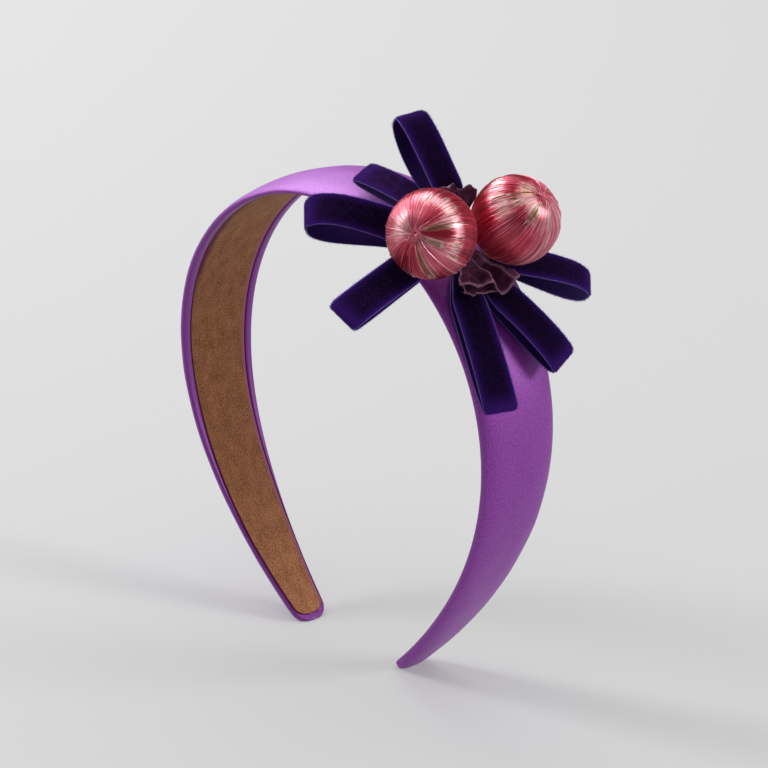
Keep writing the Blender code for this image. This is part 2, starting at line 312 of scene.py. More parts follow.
band = {
    "topHalf": 15.7,
    "tipHalf": 5.4,
    "widthPower": 2.1,
    "topEdge": 2.7,  # thickness beside the crown
    "tipEdge": 2.9,
    "trimEdge": 2.53,  # the same where the bow sits
    "crown": 1.3,
    "corner": 5.0,
    "puff": 0.12,
    "topRoundness": 1.6,
    "tipRoundness": 2.6,
    "filledOut": (20.0, 95.0),  # from the first roundness to the second
    "outerPoints": 30,
    "shoulder": 0.8,
    "rimFold": ((0.04, 0.42), (0.20, 0.16), (0.45, 0.03)),  # in from the side, out from the inner face
    "endRounding": 1.8,
    "endShare": 0.6,
    "endSpan": 4.0,
    "rimShare": 0.20,
    "tipRimShare": 0.06,
    "rimNarrows": (105.0, 172.0),
    "leastRim": 0.6,
    "leastRecess": 0.6,
    "lip": 0.10,
    "recessDepth": 1.3,
    "liningRecess": 0.25,
    "liningProud": 0.16,
    "liningEnd": 2.4,
    "liningCorner": 3.7,
    "seatGap": 0.22,
    "gathers": 0.16,
    "unevenness": 0.16,
    # painted shade: the rims beside the inner face are darkened, this much and to this colour
    "edgeShade": 0.75,
    "colour": (0.160, 0.011, 0.222),
    "colourLight": (0.335, 0.034, 0.450),
    "edgeShadeColour": (0.160, 0.014, 0.210),
}
recessEnd = arch["armLength"] - band["liningEnd"] + band["seatGap"]


def halfWidth(length):
    share = abs(length) / arch["armLength"]
    return band["tipHalf"] + (band["topHalf"] - band["tipHalf"]) * (1 - share ** band["widthPower"])


# half the width of a strip that ends in two rounded corners
def stripHalf(length, share, end, radius):
    past = max(0.0, abs(length) - (end - radius))
    return halfWidth(length) * share - radius + math.sqrt(max(radius**2 - past**2, 0.0))


def rimShareAt(length):
    low, high = band["rimNarrows"]
    return mix(band["rimShare"], band["tipRimShare"], smooth((abs(length) - low) / (high - low)))


def liningFace(length):
    return mix(band["liningRecess"], -band["liningProud"], smooth((abs(length) - 90) / 80))


# points (across, out) round the band: the padded outer face first, then the rims and the recess
def satinSection(length):
    end = arch["armLength"]
    half = stripHalf(length, 1.0, end, band["corner"]) + band["puff"]
    height = mix(band["topEdge"], band["tipEdge"], abs(length) / end)
    height += band["crown"] * (halfWidth(length) / band["topHalf"]) ** 2
    corner = band["liningCorner"] + band["seatGap"]
    recess = stripHalf(min(abs(length), recessEnd), 1 - rimShareAt(length), recessEnd, corner)
    widest = max(half - band["leastRim"], half * 0.5)
    recess = min(max(recess + band["seatGap"], band["leastRecess"]), widest)
    depth = band["recessDepth"] if abs(length) < recessEnd else 0.0
    low, high = band["filledOut"]
    power = 2.0 / mix(band["topRoundness"], band["tipRoundness"], smooth((abs(length) - low) / (high - low)))
    shoulder, last = band["shoulder"], band["outerPoints"]
    outer = []
    for i in range(last + 1):
        angle = math.pi * i / last
        across = abs(math.cos(angle)) ** power * (1 if math.cos(angle) >= 0 else -1)
        raised = (height - shoulder) * math.sin(angle) ** power if 0 < i < last else 0.0
        outer.append((half * across, shoulder + raised))
    rim = [(half - inward, out) for inward, out in band["rimFold"]]
    rim.append((mix(rim[-1][0], recess + band["lip"], 0.5), -0.05))
    rim += [(recess + band["lip"], 0.0), (recess + 0.03, min(0.1, depth)), (recess, depth)]
    floor = [(recess * share, depth) for share in (-0.5, 0.0, 0.5)]
    past = max(0.0, abs(length) - (end - band["endRounding"])) / band["endRounding"]
    squash = mix(band["endShare"], 1.0, math.sqrt(max(1.0 - past**2, 0.0)))
    middle = height * 0.5
    section = outer + [(-y, out) for y, out in rim] + floor + rim[::-1]
    return [(y, middle + (out - middle) * squash) for y, out in section]


# lengths from tip to tip, closer together where the ends are rounded
def stationsTo(end, rounded, count, endCount):
    straight = end - rounded
    half = [straight * i / count for i in range(count)]
    half += [straight + rounded * math.sin(math.pi / 2 * i / endCount) for i in range(endCount + 1)]
    return [-length for length in reversed(half[1:])] + half


def satinFinish():
    satin, tree, shader = newFinish("purpleSatin", {
        "Roughness": 0.45, "Anisotropic": 0.3, "Metallic": 0.34, "Coat Weight": 0.26, "Coat Roughness": 0.42,
        "Sheen Weight": 0.10, "Sheen Roughness": 0.40, "Sheen Tint": (0.80, 0.42, 1.0, 1.0),
        "Specular IOR Level": 0.75, "Specular Tint": (0.96, 0.83, 1.0, 1.0)})
    streak = clothNoise(tree, (1.6, 60.0), 4.0, 3.0, 0.6)
    grain = clothNoise(tree, (16.0, 22.0), 0.8, 3.0, 0.8)
    weave = mixValues(tree, 0.7, streak, grain)
    colour = colourRamp(tree, weave, ((0.41, band["colour"]), (0.60, band["colourLight"])))
    # the rims beside the inner face take the darker colour as painted shade
    shaded = mixColours(tree, markOf(tree, "rimShade"), colour, (*band["edgeShadeColour"], 1.0))
    tree.links.new(shaded, shader.inputs["Base Color"])
    addBump(tree, shader, weave, 0.55, 0.00018)
    followCloth(tree, shader)
    return satin


def makeBand():
    lengths = stationsTo(arch["armLength"], band["endSpan"], 120, 12)
    lengths += [side * (recessEnd + step) for side in (-1, 1) for step in (-0.04, 0.04)]
    rings, cloth = [], []
    pile = MeshPile()
    for length in sorted(lengths):
        point, normal = archAt(length)
        section = satinSection(length)
        ring, row = [], []
        girth = 0.0
        for j, (y, out) in enumerate(section):
            if j:
                girth += math.hypot(y - section[j - 1][0], out - section[j - 1][1])
            lift, inner = 0.0, j > band["outerPoints"]
            if not inner:
                fade = smooth((arch["armLength"] - abs(length)) / 6.0)
                lift = band["unevenness"] * fade * ripple(length * 0.11, y * 0.16, 3.0 if out > 1 else 9.0)
            elif out < 0.2 and recessEnd + 0.04 > abs(length) > 160:
                lift = 0.05 * ripple(length * 0.9, y * 0.5, 5.0)
            if abs(length) > recessEnd:  # satin gathered over the tip
                lift += band["gathers"] * math.sin(y * 3.1 + 1.0) * (1.0 if inner else 0.4)
            place = point + normal * (out + lift) + Vector((0.0, y, 0.0))
            place.z = max(place.z, 0.0)
            ring.append(place)
            row.append((length * 0.1, girth * 0.1))
            # painted shade on the rims near the inner face
            pile.marks.append(band["edgeShade"] * smooth(1.2 - out))
        row.append((length * 0.1, girth * 0.1 + 0.1))
        rings.append(ring)
        cloth.append(row)
    loftRings(pile, rings, cloth)
    cover = pile.make("satinBand", [satinFinish()], sharp=75, mark="rimShade")
    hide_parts("satin_band")
    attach(cover, "root")


lining = {
    "back": 1.15,
    "edgeRound": 0.32,
    "dents": 0.10,
    "naps": 0.06,
    "borderFades": 55.0,
    "flatArea": 0.00755,  # in square metres, cut to the taper
    "dark": (0.098, 0.035, 0.015),
    "brown": (0.225, 0.089, 0.040),
    "light": (0.38, 0.165, 0.078),
    # painted shadow along the near border, and painted highlight along the far border, partly the cut edge's
    # own colour
    "nearShadowLine": (0.085, 0.009, 0.032),
    "farEdgeHighlight": (0.27, 0.085, 0.15),
    # brightness along the lining: lighter at the top as painted light, darker round the shoulder, lighter
    # toward the tips as worn nap
    "topShade": (1.06, 1.06, 1.06),
    "shoulderShade": (0.90, 0.90, 0.90),
    "armShade": (0.98, 0.98, 0.98),
    "tipShade": (1.42, 1.46, 1.54),
}


def suedeFinish():
    suede, tree, shader = newFinish("brownSuede", {
        "Roughness": 0.95, "Sheen Weight": 0.15, "Sheen Roughness": 0.5, "Sheen Tint": (1.0, 0.72, 0.50, 1.0),
        "Specular IOR Level": 0.15})
    blotch = clothNoise(tree, (0.9, 1.4), 2.2, 4.0, 0.62)
    nap = clothNoise(tree, (7.0, 9.0), 2.4, 4.0, 0.85)
    tones = ((0.39, lining["dark"]), (0.61, lining["light"]), (0.49, lining["brown"]))
    colour = colourRamp(tree, mixValues(tree, 0.79, blotch, nap), tones)
    # lighter at the top as painted light, darker round the shoulder, lighter toward the tips as worn nap
    shades = colourRamp(tree, fromMiddle(tree, 0.05, 1.0, "X"), (
        (0.0, lining["topShade"]), (0.95, lining["tipShade"]),
        (0.32, lining["shoulderShade"]), (0.7, lining["armShade"])))
    shaded = mixColours(tree, 1.0, colour, shades, "MULTIPLY")
    border = markOf(tree, "border")
    # a painted shadow line along the near border, wider round the top, and a painted highlight line along the
    # far border
    near = colourRamp(tree, border, ((0.10, (1.0, 1.0, 1.0)), (0.30, (0.0, 0.0, 0.0))))
    far = colourRamp(tree, border, ((0.85, (0.0, 0.0, 0.0)), (0.97, (0.85, 0.85, 0.85))))
    shaded = mixColours(tree, near, shaded, (*lining["nearShadowLine"], 1.0))
    shaded = mixColours(tree, far, shaded, (*lining["farEdgeHighlight"], 1.0))
    tree.links.new(shaded, shader.inputs["Base Color"])
    addBump(tree, shader, nap, 0.6, 0.0002)
    return suede


# 1 on the far border, where a highlight line is painted, 0 on the near one, where a shadow line is painted,
# about a half on the plain face; j counts round the strip
def borderAt(j, fade):
    if j <= 5:
        return 1.0
    if j >= 15:
        return 0.0
    if j >= 13:
        return 0.5 * fade
    return mix(0.34, 0.5, fade) if j == 12 else 0.5


def makeLining():
    end = arch["armLength"] - band["liningEnd"]
    bend = lining["edgeRound"]
    rings, cloth = [], []
    pile = MeshPile()
    for length in stationsTo(end, band["liningCorner"], 160, 10):
        point, normal = archAt(length)
        half = stripHalf(length, 1 - rimShareAt(length), end, band["liningCorner"])
        half = min(half, stripHalf(length, 1.0, arch["armLength"], band["corner"]) - band["leastRim"])
        face = liningFace(length)
        fade = smooth((abs(length) - lining["borderFades"]) / lining["borderFades"])
        inside = half - bend
        front = [(inside, face), (inside - 0.12, face), (inside - 0.45, face)]
        front += [((inside - 0.45) * (1 - i / 4), face) for i in range(1, 8)]
        front += [(-inside + 0.45, face), (-inside + 0.12, face), (-inside, face)]
        turned = [(half, lining["back"]), (half, face + bend), (half - bend * 0.3, face + bend * 0.3)]
        section = turned + front + [(-y, out) for y, out in reversed(turned)]
        ring = []
        for j, (y, out) in enumerate(section):
            if 4 < j < 14:
                out += lining["naps"] * ripple(length * 0.8, y * 0.8, 4.0)
                out += lining["dents"] * ripple(length * 0.16, y * 0.2, 6.0)
            if j < 3 or j > 15:
                y += 0.07 * ripple(length * 0.7, 1.0 if y > 0 else -1.0, 8.0)
            ring.append(point + normal * out + Vector((0.0, y, 0.0)))
            pile.marks.append(borderAt(j, fade))
        rings.append(ring)
        cloth.append([(length * 0.1, y * 0.1) for y, out in section + section[:1]])
    loftRings(pile, rings, cloth)
    strip = pile.make("suedeLining", [suedeFinish()], mark="border")
    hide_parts("suede_lining")
    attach(strip, "root")


trimLength = 41.0  # where the bow sits, from the top along the arch


# the bow's own frame: X down the arm, Y across the band, Z out
def trimMatrix():
    point, normal = archAt(trimLength)
    out = band["trimEdge"] + band["crown"] * (halfWidth(trimLength) / band["topHalf"]) ** 2
    down = Vector((normal.z, 0.0, -normal.x))
    axes = Matrix((down, Vector((0.0, 1.0, 0.0)), normal)).transposed()
    return Matrix.Translation(point + normal * out) @ axes.to_4x4()


trim = trimMatrix()


photoRight = Vector((0.681, 0.732, 0.0))  # the turns round a ball start on this side

balls = {
    "near": {
        "centre": (-1.5, -18.3, 14.2), "pole": (0.37, -0.87, 0.31), "seed": 4, "node": "wound_ball_near",
        # turn and half turn round the pole, from and to (degrees away from it), dye number; in both tables the
        # pale and straw rings where the highlights fall are painted highlight, and a dark crimson patch low on
        # the far ball is painted shade
        "dyesAndPaintedLight": (
            (180, 180, 60, 100, 0.86), (-4, 16, 8, 50, 1.0), (18, 8, 12, 48, 0.08), (44, 18, 14, 44, 0.90),
            (80, 22, 8, 50, 0.62), (-30, 10, 14, 42, 0.13), (-84, 8, 6, 76, 0.16), (-120, 26, 14, 80, 0.80),
            (-52, 14, 20, 100, 0.58), (166, 34, 12, 34, 0.36), (125, 14, 10, 40, 0.42), (50, 40, 44, 64, 0.34),
            (8, 20, 50, 66, 0.36), (-24, 14, 50, 66, 0.24), (24, 10, 44, 62, 0.25),
        ),
    },
    "far": {
        "centre": (2.8, 8.8, 16.2), "pole": (0.70, 0.16, 0.69), "seed": 11, "node": "wound_ball_far",
        "dyesAndPaintedLight": (
            (180, 180, 60, 105, 0.84), (285, 70, 48, 130, 0.50), (210, 34, 3, 15, 0.98), (150, 16, 8, 20, 0.20),
            (205, 60, 15, 34, 0.33), (165, 16, 20, 36, 0.12), (175, 34, 36, 52, 0.95), (205, 14, 34, 50, 0.10),
            (235, 20, 38, 60, 0.90), (176, 40, 54, 78, 0.34), (205, 16, 50, 74, 0.30), (200, 18, 74, 96, 0.98),
            (255, 26, 56, 120, 0.70), (250, 12, 18, 44, 0.12), (300, 24, 14, 46, 0.42), (340, 30, 12, 60, 0.50),
            (120, 20, 30, 60, 0.9), (236, 34, 88, 135, 0.88), (188, 18, 16, 32, 0.25),
        ),
    },
}
thread = {
    "radius": 12.05,
    # strands, lift, share of the width, stray
    "layers": ((440, 0.0, 1.0, 0.35), (250, 0.10, 0.75, 0.6), (16, 0.26, 0.8, 1.6)),
    "reach": (1.0, 179.0),  # degrees from one pole
    "looseReach": (50.0, 120.0),
    "width": 0.21,
    "height": 0.13,
    "sunk": 0.14,
    "segments": 32,
    "swirl": 0.34,
    "swirlSpan": 16.0,
    "dip": 0.75,
    "dipSpan": 7.0,
    "coreInset": 0.22,
    "coreRings": 18,
    "corePoints": 48,
    "plainDye": 0.60,
    "dyeFade": 5.0,  # degrees over which one dye runs into the next
    "dyeJitter": (6, 3.2, 3.2),
    "dyeDrift": 0.06,
    "faded": -0.16,  # the loose strands and a few others
    "fadedShare": 0.03,
    "pink": (0.67, 0.145, 0.215),
    "crimson": (0.36, 0.009, 0.034),
    "rose": (0.53, 0.060, 0.104),
    "olive": (0.240, 0.120, 0.058),
    # straw and pale are thread dyes, and where they form the highlight rings they are painted highlight
    "straw": (0.76, 0.56, 0.38),
    "pale": (0.95, 0.60, 0.66),
    # the core under the strands, dark as painted shade in the gaps between them
    "under": (0.10, 0.006, 0.014),
}


def threadFinish():
    silk, tree, shader = newFinish("variegatedThread", {
        "Roughness": 0.31, "Anisotropic": 0.4, "Metallic": 0.62, "Specular IOR Level": 0.8,
        "Specular Tint": (1.0, 0.90, 0.90, 1.0), "Sheen Weight": 0.03, "Sheen Roughness": 0.35,
        "Sheen Tint": (1.0, 0.8, 0.8, 1.0)})
    streaks = clothNoise(tree, (40.0, 1.3), 1.0, 3.0, 0.7)
    drift = addNode(tree, "ShaderNodeMath", {0: streaks, 1: 0.16, 2: -0.08}, operation="MULTIPLY_ADD")
    # the mark holds the dyes together with the painted highlight rings and shade patches
    dyeAndPaintedLight = addNode(tree, "ShaderNodeMath", {0: markOf(tree, "dyeAndPaintedLight"), 1: drift.outputs[0]}, operation="ADD")
    colour = colourRamp(tree, dyeAndPaintedLight.outputs[0], (
        (0.0, thread["olive"]), (1.0, thread["crimson"]), (0.13, thread["olive"]), (0.23, thread["straw"]),
        (0.33, thread["pale"]), (0.56, thread["pink"]), (0.74, thread["rose"]), (0.90, thread["crimson"])))
    fineLines = clothNoise(tree, (70.0, 0.9), 1.0, 2.0)
    shade = colourRamp(tree, fineLines, ((0.36, (0.50, 0.46, 0.48)), (0.64, (1.5, 1.5, 1.5))))
    tree.links.new(mixColours(tree, 1.0, colour, shade, "MULTIPLY"), shader.inputs["Base Color"])
    followCloth(tree, shader)
    return silk


# dye number at a turn round the pole and a distance from it, both in degrees, with the painted highlight rings
# and shade patches among the dyes
def dyeAndLightAt(ball, turn, away, jitter):
    value = thread["plainDye"]
    for middle, half, start, end, dyeAndPaintedLight in ball["dyesAndPaintedLight"]:
        apart = abs((turn - middle + 180.0) % 360.0 - 180.0)
        inside = smooth((half * 1.25 - apart + jitter[0]) / (half * 0.5))
        inside *= smooth((away - start + jitter[1]) / thread["dyeFade"] + 0.5)
        inside *= smooth((end - away + jitter[2]) / thread["dyeFade"] + 0.5)
        value = mix(value, dyeAndPaintedLight, inside)
    return value


# the winding dips in at both poles
def dipAt(angle):
    return thread["dip"] * bell(math.degrees(min(angle, math.pi - angle)), thread["dipSpan"])


# one strand runs from pole to pole, passing each pole by a hair so that the ends swirl
def strandPoints(turn, aside, lift, start, end):
    count = thread["segments"]
    points = []
    for i in range(count + 1):
        share = i / count
        angle = math.radians(mix(start, end, share - 0.09 * math.sin(2 * math.pi * share)))
        near = math.degrees(min(angle, math.pi - angle))
        radius = thread["radius"] + lift - dipAt(angle)
        bend = turn + 0.05 * math.sin(angle * 2)
        sideways = aside * bell(near, thread["swirlSpan"])
        ring = radius * math.sin(angle)
        x = ring * math.cos(bend) - sideways * math.sin(bend)
        y = ring * math.sin(bend) + sideways * math.cos(bend)
        points.append(Vector((x, y, radius * math.cos(angle))))
    return points


def addStrand(pile, points, width, strandDyesAndLight, turn):
    rings, cloth = [], []
    count = len(points)
    for i, point in enumerate(points):
        along = (points[min(i + 1, count - 1)] - points[max(i - 1, 0)]).normalized()
        out = point.normalized()
        side = along.cross(out).normalized()
        slim = 0.35 + 0.65 * math.sqrt(max(math.sin(math.pi * i / (count - 1)), 0.0))
        edge = side * (width / 2 * slim)
        root, top = point - out * thread["sunk"], point + out * thread["height"]
        rings.append([root + edge, top + edge * 0.45, top - edge * 0.45, root - edge])
        cloth.append([(turn + j * 0.01, i / (count - 1) * 4.0) for j in range(5)])
    loftRings(pile, rings, cloth)
    pile.marks += [value for value in strandDyesAndLight for _ in range(4)]


def addCore(pile):
    count, around = thread["coreRings"], thread["corePoints"]
    rings, cloth = [], []
    for i in range(count + 1):
        angle = mix(0.03, math.pi - 0.03, i / count)
        radius = thread["radius"] - thread["coreInset"] - dipAt(angle)
        ring, height = radius * math.sin(angle), radius * math.cos(angle)
        turns = [2 * math.pi * j / around for j in range(around)]
        rings.append([Vector((ring * math.cos(turn), ring * math.sin(turn), height)) for turn in turns])
        cloth.append([(j * 0.1, i * 0.1) for j in range(around + 1)])
    loftRings(pile, rings, cloth, lambda i, j: 1)
    pile.marks += [0.0] * (around * (count + 1))  # the core has no dye


def makeBall(key, silk):
    ball = balls[key]
    draw = random.Random(ball["seed"])
    pile = MeshPile()
    for count, lift, widthShare, stray in thread["layers"]:
        for i in range(count):
            turn = 2 * math.pi * (i + 0.6 * draw.random()) / count
            loose = stray > 1
            start, end = (2.0, mix(*thread["looseReach"], draw.random())) if loose else thread["reach"]
            aside = thread["swirl"] * (1.0 + stray * draw.gauss(0, 1))
            points = strandPoints(turn, aside, lift + 0.07 * draw.random(), start, end)
            jitter = [draw.gauss(0, spread) for spread in thread["dyeJitter"]]
            faded = loose or draw.random() < thread["fadedShare"]
            drift = thread["faded"] if faded else thread["dyeDrift"] * draw.gauss(0, 1)
            strandDyesAndLight = []
            for point in points:
                away = math.degrees(point.angle(Vector((0.0, 0.0, 1.0))))
                strandDyesAndLight.append(dyeAndLightAt(ball, math.degrees(turn), away, jitter) + drift)
            width = thread["width"] * widthShare * (0.75 + 0.5 * draw.random())
            addStrand(pile, points, width, strandDyesAndLight, turn)
    addCore(pile)
    # the core is coloured dark as painted shade between the strands
    core = newFinish("ballCore", {"Roughness": 0.8, "Base Color": (*thread["under"], 1.0)})[0]
    made = pile.make("threadBall" + key.title(), [silk, core], sharp=80, mark="dyeAndPaintedLight")
    pole = Vector(ball["pole"]).normalized()
    level = (photoRight - pole * photoRight.dot(pole)).normalized()
    axes = Matrix((level, pole.cross(level), pole)).transposed().to_4x4()
    place = Matrix.Translation((trim @ Vector(ball["centre"])) * mm) @ axes
    made.data.transform(place)
    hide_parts(ball["node"])
    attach(made, "root")


ribbon = {
    "width": 10.0,
    "inner": -0.48,  # the back, from the middle of the solid
    "ground": 0.34,  # thickness under the pile
    "pile": 0.62,
    "selvedge": 0.34,
    "rootHalfGap": 0.68,
    "rootPinch": 0.45,
    "rootLength": 11.0,
    "foldLength": 1.8,
    "foldInset": 0.8,
    "stations": 84,
    "tuftsPerMm": 11.0,
    "tuftWidth": 0.13,
    "bristlesPerMm": 4.0,
    "bristle": 0.72,
    "bristleWidth": 0.11,
    "bend": 0.75,
    "bendSpan": 3.2,
    "bendAround": 0.07,
    "pileDark": (0.0026, 0.0007, 0.0044),
    "pileLight": (0.0066, 0.0018, 0.0145),
    # painted sheen: violet along the pile's edges, and at the fold
    "pileEdgeSheen": (0.045, 0.011, 0.185),
    "pileFoldSheen": (0.046, 0.0115, 0.165),
    "back": (0.025, 0.0080, 0.092),
    "edge": (0.15, 0.074, 0.40),
    # how much brighter the small loop's pile is painted, as sheen
    "sheenLift": 5.0,
}
groundTop = ribbon["inner"] + ribbon["ground"]

loops = {
    # along, across, height, heading, lift, length, opening, fullness, roll, twist, bow, start
    "velvet_loop_top": (-8.0, 3.8, 5.3, 180, 0, 33.4, 9.2, 1.2, -5, -4, -23, 1.0),
    "velvet_loop_small": (-9.4, 1.9, 2.6, 197, -12, 30.0, 2.8, 1.1, -5, 1, 8, 1.0),
    "velvet_loop_left": (-7.0, -6.4, 2.2, 236, -2, 36.2, 14.2, 2.0, -31, 25, 11, 3.0),
    "velvet_loop_lower_left": (-3.6, -9.4, 1.1, 284, -6, 38.0, 5.0, 3.0, 0, 0, 2, 1.0),
    "velvet_loop_down": (5.0, -6.4, 2.0, -14, -8.5, 42.3, 3.7, 1.0, 8, 9, 4, 1.0),
    "velvet_loop_lower_right": (8.3, -2.6, 3.5, 27.5, -10, 34.3, 5.2, 1.4, 11, 7, 8, 5.0),
    "velvet_loop_right": (0.5, 5.0, 1.5, 49, 5, 33.3, 9.2, 2.8, 14, -21, 4, 1.0),
}


# middle, wide direction and half width of a loop; a full turn runs from one root to the other
def loopSection(row, turn):
    along, across, height, heading, lift, length, opening, fullness, roll, twist, bow = row[:11]
    heading, lift, bow = (math.radians(a) for a in (heading, lift, bow))
    flat = Vector((math.cos(heading), math.sin(heading), 0.0))
    side = Vector((-math.sin(heading), math.cos(heading), 0.0))
    forward = flat * math.cos(lift) + Vector((0.0, 0.0, math.sin(lift)))
    rise = Vector((0.0, 0.0, math.cos(lift))) - flat * math.sin(lift)
    reach = length * (1 - math.cos(turn)) / 2
    apart = ribbon["rootHalfGap"] * math.cos(turn / 2)
    apart += opening / 2 * math.sin(turn) * abs(math.sin(turn / 2)) ** fullness
    bent = bow * reach / length
    radius = length / bow
    ahead, down = radius * math.sin(bent), radius * (1 - math.cos(bent))
    lifted = rise * math.cos(bent) + forward * math.sin(bent)
    tilt = math.radians(roll + twist * reach / length)
    wide = side * math.cos(tilt) + lifted * math.sin(tilt)
    normal = lifted * math.cos(tilt) - side * math.sin(tilt)
    half = ribbon["width"] / 2 * mix(ribbon["rootPinch"], 1.0, smooth(reach / ribbon["rootLength"]))
    past = max(0.0, reach - (length - ribbon["foldLength"])) / ribbon["foldLength"]
    half -= ribbon["foldInset"] * (1 - math.sqrt(max(1.0 - past**2, 0.0)))
    return Vector((along, across, height)) + forward * ahead - rise * down + normal * apart, wide, half


def pileFinish(name="violetPile", lit=1.0):
    velvet, tree, shader = newFinish(name, {
        "Roughness": 0.85, "Sheen Weight": 0.46, "Sheen Roughness": 0.13,
        "Sheen Tint": (0.33, 0.10, 0.85, 1.0), "Specular IOR Level": 0.02})
    # lit brightens the pile colours as painted sheen
    dark, light = (tuple(c * lit for c in ribbon[key]) for key in ("pileDark", "pileLight"))
    colour = colourRamp(tree, clothNoise(tree, (3.0, 3.0), 1.6, 4.0, 0.6), ((0.35, dark), (0.7, light)))
    # painted sheen: violet along both edges of the pile, and at the fold through the bent mark
    border = colourRamp(tree, fromMiddle(tree, 1.0, 1.0, "Y"), (
        (0.24, (0.0, 0.0, 0.0)), (0.49, (1.0, 1.0, 1.0)), (0.40, (0.20, 0.20, 0.20))))
    shaded = mixColours(tree, border, colour, (*ribbon["pileEdgeSheen"], 1.0))
    shaded = mixColours(tree, markOf(tree, "bent"), shaded, (*ribbon["pileFoldSheen"], 1.0))
    tree.links.new(shaded, shader.inputs["Base Color"])
    return velvet


def backFinish():
    back, tree, shader = newFinish("ribbonBack", {
        "Base Color": (*ribbon["back"], 1.0), "Roughness": 0.75, "Specular IOR Level": 0.04,
        "Sheen Weight": 0.24, "Sheen Roughness": 0.30, "Sheen Tint": (0.30, 0.14, 0.90, 1.0)})
    addBump(tree, shader, clothRibs(tree, 11.0, 0.6), 0.5, 0.00015)
    return back


def edgeFinish():
    edge, tree, shader = newFinish("ribbonSelvedge", {
        "Roughness": 0.5, "Sheen Weight": 0.25, "Sheen Tint": (0.5, 0.35, 1.0, 1.0)})
    picks = clothRibs(tree, 7.0, 1.2)
    colour = colourRamp(tree, picks, ((0.2, ribbon["back"]), (0.65, ribbon["edge"])))
    tree.links.new(colour, shader.inputs["Base Color"])
    addBump(tree, shader, picks, 0.7, 0.0002)
    return edge


# points (across, out) round the ribbon: one edge, the pile face, the other edge, the back
def ribbonShape(half):
    flatHalf = half - ribbon["selvedge"]
    inner, pileTop = ribbon["inner"], groundTop + ribbon["pile"] * 0.55
    edge = [(half, groundTop - 0.12), (half - 0.08, groundTop)]
    edge += [(flatHalf + 0.1, groundTop), (flatHalf - 0.05, pileTop - 0.15)]
    face = [(flatHalf * share, pileTop) for share in (0.93, 0.6, 0.2, -0.2, -0.6, -0.93)]
    back = [(-half + 0.08, inner), (-flatHalf * 0.5, inner), (flatHalf * 0.5, inner), (half - 0.08, inner)]
    return edge + face + [(-y, out) for y, out in reversed(edge)] + back


# pile, back or selvedge, by the number of the face round the ribbon
def ribbonSlot(i, j):
    if 2 <= j <= 10:
        return 0
    return 1 if 14 <= j <= 16 else 2


# painted sheen on the pile, strongest at the fold
def foldSheenAt(along, run):
    away = along - run / 2
    around = ribbon["bendAround"] * smooth(1.2 - abs(away) / (run * 0.4))
    return ribbon["bend"] * bell(away, ribbon["bendSpan"]) + around


def frameAt(frames, place):
    i = int(place)
    return [mix(a, b, place - i) for a, b in zip(frames[i], frames[i + 1])]


# the short hairs all over the pile face
def addTufts(tufts, frames, draw):
    run = frames[-1][4]
    turned = trim.to_3x3()
    for _ in range(int(run * ribbon["width"] * ribbon["tuftsPerMm"])):
        place = draw.random() * (len(frames) - 1) * 0.9999
        centre, wide, through, half, at = frameAt(frames, place)
        y = (2 * draw.random() - 1) * (half - ribbon["selvedge"] + 0.05)
        foot = centre + wide * y + through * groundTop
        along = wide.cross(through)
        fanned = 0.35 * (y / half) ** 5
        lean = wide * (0.10 * draw.gauss(0, 1) + fanned) + along * (0.10 * draw.gauss(0, 1) + 0.12)
        tip = foot + (through + lean) * ribbon["pile"] * (0.85 + 0.3 * draw.random())
        angle = draw.random() * 6.28
        w = ribbon["tuftWidth"] / 2
        turns = [angle + third for third in (0, 2.09, 4.19)]
        feet = [foot + wide * (w * math.cos(turn)) + along * (w * math.sin(turn)) for turn in turns]
        tufts.addSpike([trim @ p for p in (*feet, tip)], (at * 0.1, y * 0.1))
        tufts.normals += [(turned @ (through + lean * 2.2)).normalized()] * 4
        tufts.marks += [foldSheenAt(at, run)] * 4


# the longer hairs along both edges of the pile
def addBristles(tufts, frames, draw):
    run = frames[-1][4]
    turned = trim.to_3x3()
    count = run * ribbon["bristlesPerMm"]
    w = ribbon["bristleWidth"] / 2
    for side in (-1, 1):
        for k in range(int(count)):
            place = (k + draw.random()) / count * (len(frames) - 1) * 0.999
            centre, wide, through, half, at = frameAt(frames, place)
            along = wide.cross(through)
            foot = centre + wide * side * (half - 0.30) + through * (ribbon["inner"] + ribbon["ground"] * 0.6)
            way = wide * side * (0.8 + 0.3 * draw.random()) + through * (0.15 + 0.75 * draw.random())
            way += along * draw.gauss(0, 0.35)
            tip = foot + way.normalized() * ribbon["bristle"] * (0.6 + 0.7 * draw.random())
            feet = (foot + along * w, foot - along * w + through * w, foot - along * w - through * w)
            tufts.addSpike([trim @ p for p in (*feet, tip)], (at * 0.1, 0.49))
            tufts.normals += [(turned @ (through + wide * side * 0.8)).normalized()] * 4
            tufts.marks += [foldSheenAt(at, run)] * 4


